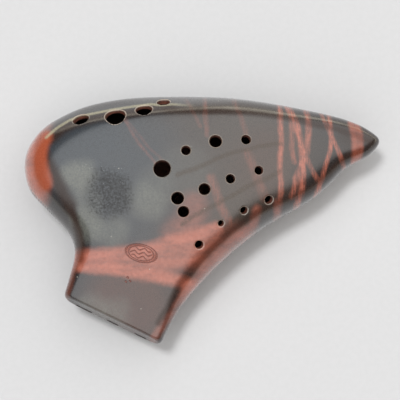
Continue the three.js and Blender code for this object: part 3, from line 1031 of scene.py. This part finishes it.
def smoked_clay():
    """Burnished clay, blackened by smoke, with red flashes, marks and bare clay in its holes."""
    material, tree = new_material("smoked_clay")
    group = streak_group()
    place = flat_position(tree)
    x, _, height = tree.parts(place)
    flat = tree.vector("MULTIPLY", place, (1, 1, 0))
    wavy = warped(tree, flat, 3.2, 0.06)
    ragged = warped(tree, wavy, 1.2, 0.45)
    clouds = tree.noise(place, 0.028, 3.0, 0.55)
    mottle = tree.noise(place, 0.5, 4.0, 0.65)
    grain = tree.noise(place, 2.6, 2.0, 0.6)

    flash = red_flashes(tree, group, wavy, ragged)
    hot = tree.ramp(bands(tree, group, ragged, HOT_FLASHES), 0.0, 1.0)
    hot = tree.math("MULTIPLY", hot, tree.ramp(height, 5.0, 12.0))
    # a painted dark reflection on a dull patch, and painted highlights round it
    dull_dark_reflection, pale_highlight = painted_reflections_and_dull_patch(tree, place, flat, wavy)
    # painted dark reflection bands along the shoulders, which also thin the polish there
    dark_reflection_band = bands(tree, group, wavy, DARK_REFLECTION_PATHS)
    dark_reflection_band = tree.math("MULTIPLY", dark_reflection_band, tree.ramp(height, 0.0, 4.0))
    lines = wall_lines(tree, group, ragged, grain)
    mark, mark_area = maker_mark(tree, flat)
    scratches = tree.math("MAXIMUM", mark, dot_mark(tree, flat))
    strokes = side_mark(tree, group, flat, height)
    grooves = tree.math("MAXIMUM", scratches, strokes)
    # worn rims round the holes, partly painted highlights
    worn_and_highlight_rims = tree.math("MULTIPLY", hole_rims(tree, place), tree.ramp(clouds, 0.4, 0.6, 0.45, 0.9))
    skin = tree.add("Attribute", attribute_name="skin").outputs["Fac"]

    colour = smoke_colour(tree, place, flat, clouds, mottle)
    colour = tree.mix(dull_dark_reflection, colour, DARK_REFLECTION_GREY)
    colour = tree.mix(pale_highlight, colour, HIGHLIGHT_GREY)
    colour = tree.mix(dark_reflection_band, colour, DARK_REFLECTION_BROWN)
    red = tree.mix(tree.ramp(mottle, 0.3, 0.7), LIGHT_RED, DARK_RED)
    colour = tree.mix(flash, colour, tree.mix(dark_reflection_band, red, RED_UNDER_DARK_REFLECTION))
    colour = tree.mix(hot, colour, HOT_RED)
    # a painted pale reflection line along the shoulder
    colour = tree.mix(pale_reflection_line(tree, group, flat, x), colour, PALE_REFLECTION)
    colour = tree.mix(lines, colour, WALL_BROWN)
    colour = tree.mix(tree.math("MULTIPLY", mark_area, 0.35), colour, MARK_GROUND)
    colour = tree.mix(tree.math("MULTIPLY", scratches, 0.85), colour, MARK_LINES)
    colour = tree.mix(strokes, colour, STROKES)
    colour = tree.mix(specks(tree, place, 7.0, 0.32, 0.3), colour, DUST)
    colour = tree.mix(worn_and_highlight_rims, colour, WORN_AND_HIGHLIGHT_RIM)
    colour = tree.mix(skin, bare_clay(tree, mottle), colour)
    tree.join(colour, tree.shader.inputs["Base Color"])

    set_roughness(tree, mottle, grooves, dull_dark_reflection, skin)
    half_dull = [tree.math("MULTIPLY", hot, 0.85), tree.math("MULTIPLY", lines, 0.45)]
    unpolished = tree.strongest([dull_dark_reflection, dark_reflection_band, end_face(tree, flat), *half_dull])
    set_polish(tree, skin, unpolished)
    set_relief(tree, grooves, grain, mottle)
    return material


def raw_clay():
    """Unburnished red-brown clay, for the pieces inside."""
    material, tree = new_material("raw_clay")
    place = flat_position(tree)
    clouds = tree.noise(place, 0.08, 3.0)
    grit = tree.noise(place, 1.8, 4.0, 0.7)
    colour = tree.mix(tree.ramp(clouds, 0.3, 0.7), RAW_LIGHT, RAW_DARK)
    colour = tree.mix(tree.ramp(grit, 0.5, 0.8, 0.0, 0.5), colour, GRIT)
    tree.join(colour, tree.shader.inputs["Base Color"])
    tree.join(tree.ramp(grit, 0.3, 0.7, 0.7, 0.95), tree.shader.inputs["Roughness"])
    bump = tree.add("Bump", {"Height": grit, "Distance": 0.0002, "Strength": 0.8})
    tree.join(bump.outputs[0], tree.shader.inputs["Normal"])
    return material


def paper():
    """The plain pale ground."""
    material, tree = new_material("paper")
    grain = tree.noise(tree.add("TexCoord").outputs["Object"], 300.0, 3.0)
    colour = tree.mix(tree.ramp(grain, 0.3, 0.7), *PAPER_TONES)
    tree.join(colour, tree.shader.inputs["Base Color"])
    tree.shader.inputs["Roughness"].default_value = 0.9
    tree.shader.inputs["Specular IOR Level"].default_value = 0.1
    return material


# ---- Stage: ground, light and camera ----

VIEW_TILT = math.radians(10)  # the camera leans from overhead towards the mouthpiece
VIEW_ROLL = math.radians(4.2)  # and the instrument is turned this much in its picture
VIEW_DISTANCE = 0.9
VIEW_WIDTH = 0.244  # width of the picture at the seam
FLOOR_HALF = 1.6  # metres


def picture_axes():
    """Right, up and towards the camera, in the model's frame."""
    right = Vector((math.cos(VIEW_ROLL), -math.sin(VIEW_ROLL), 0))
    away = Vector((math.sin(VIEW_ROLL), math.cos(VIEW_ROLL), 0))
    up = away * math.cos(VIEW_TILT) + Vector((0, 0, math.sin(VIEW_TILT)))
    return right, up, right.cross(up)


def add_camera():
    right, up, back = picture_axes()
    data = bpy.data.cameras.new("camera")
    data.sensor_width = 36
    data.lens = data.sensor_width * VIEW_DISTANCE / VIEW_WIDTH
    camera = bpy.data.objects.new("camera", data)
    place = Vector(SEAM_ORIGIN / 1000) + back * VIEW_DISTANCE
    turn = Matrix((right, up, back)).transposed().to_4x4()
    camera.matrix_world = Matrix.Translation(place) @ turn
    bpy.context.scene.collection.objects.link(camera)
    bpy.context.scene.camera = camera


def add_floor():
    signs = ((-1, -1), (1, -1), (1, 1), (-1, 1))
    corners = [(FLOOR_HALF * x, FLOOR_HALF * y, 0) for x, y in signs]
    mesh = bpy.data.meshes.new("floor")
    mesh.from_pydata(corners, [], [(0, 1, 2, 3)])
    mesh.materials.append(paper())
    floor = bpy.data.objects.new("floor", mesh)
    bpy.context.scene.collection.objects.link(floor)


# The surroundings. A long light hangs overhead, in a strip across TENT_NORMAL. Directions are
# measured along TENT_NORMAL by where they meet a level plane one unit up.
TENT_NORMAL = (-0.77, 0.64)
TENT_NEAR = (0.72, 0.95)  # towards the blunt end: full strength up to here, and gone here
TENT_FAR = (-1.5, -0.75)  # towards the tail: gone here, and at full strength from here
TENT_STRENGTH = 1.5
# Heights of directions are the sines of their angles above level.
TENT_HEIGHT = (0.25, 0.45)  # below the first there is no light overhead
BACKDROP = (0.05, 0.1)  # a pale backdrop stands all round: full and gone
BACKDROP_STRENGTH = 0.75
BRIGHT_STRIP = (0.03, 0.06, 0.21, 0.26)  # a bright strip behind: from, full, full, gone
STRIP_SIDE = (0.3, 0.7)  # how far round behind it starts, and is full
STRIP_STRENGTH = 2.3
DIM_WALL = 0.06
COOL_LIGHT = (0.96, 0.985, 1.0, 1)
WARM_LIGHT = (1.0, 0.975, 0.95, 1)
LOW_LIGHT = (1.0, 0.94, 0.8, 1)
KEY_STRENGTH = 2.1
KEY_SPREAD = math.radians(12)
KEY_DIRECTION = (-0.2, 0.17, 1.0)


def tent_light(tree, direction, height):
    across = tree.vector("DOT_PRODUCT", direction, (*TENT_NORMAL, 0), output="Value")
    reach = tree.math("DIVIDE", across, tree.math("MAXIMUM", height, 0.05))
    near = tree.ramp(reach, *TENT_NEAR, TENT_STRENGTH, 0.0)
    tent = tree.math("MULTIPLY", near, tree.ramp(reach, *TENT_FAR))
    return tree.math("MULTIPLY", tent, tree.ramp(height, *TENT_HEIGHT))


def strip_light(tree, x, y, height):
    rise, full, fade, gone = BRIGHT_STRIP
    strip = tree.ramp(height, rise, full, 0.0, STRIP_STRENGTH)
    strip = tree.math("MULTIPLY", strip, tree.ramp(height, fade, gone, 1.0, 0.0))
    behind = tree.math("MULTIPLY_ADD", x, 0.8, y)
    return tree.math("MULTIPLY", strip, tree.ramp(behind, *STRIP_SIDE))


def add_world():
    """A long white light overhead, a dim room, a pale backdrop and a bright strip behind."""
    world = bpy.data.worlds.new("studio")
    world.use_nodes = True
    bpy.context.scene.world = world
    tree = Tree(world.node_tree)
    direction = tree.add("TexCoord").outputs["Generated"]
    x, y, height = tree.parts(direction)
    level = tree.math("ADD", tent_light(tree, direction, height), strip_light(tree, x, y, height))
    level = tree.math("ADD", level, tree.ramp(height, *BACKDROP, BACKDROP_STRENGTH, 0.0))
    level = tree.math("ADD", level, DIM_WALL)
    cool_side = tree.math("SUBTRACT", y, x)
    overhead = tree.mix(tree.ramp(cool_side, -0.5, 0.6), WARM_LIGHT, COOL_LIGHT)
    low_down = tree.ramp(height, 0.2, 0.3, 1.0, 0.0)
    background = tree.tree.nodes["Background"]
    tree.join(level, background.inputs["Strength"])
    tree.join(tree.mix(low_down, overhead, LOW_LIGHT), background.inputs["Color"])


def add_key_light():
    """A gentle key from the upper left, for the shadow on the ground."""
    data = bpy.data.lights.new("key", "SUN")
    data.energy = KEY_STRENGTH
    data.angle = KEY_SPREAD
    key = bpy.data.objects.new("key", data)
    key.rotation_euler = Vector(KEY_DIRECTION).to_track_quat("Z", "Y").to_euler()
    key.visible_glossy = False
    bpy.context.scene.collection.objects.link(key)


def give_material(node, material):
    """Gives a carried-over CAD piece its finish, through its object's slots."""
    piece = frame["nodes"][node]
    for slot in piece.material_slots:
        slot.link = "OBJECT"
        slot.material = material


clay = smoked_clay()
build_shells(clay)
for voice in VOICES:
    build_labium(voice, clay)
inside = raw_clay()
for node in ("divider_low_mid", "divider_mid_high", *(f"windway_{voice}" for voice in VOICES)):
    give_material(node, inside)

add_camera()
add_floor()
add_world()
add_key_light()
bpy.context.scene.view_settings.view_transform = "Standard"
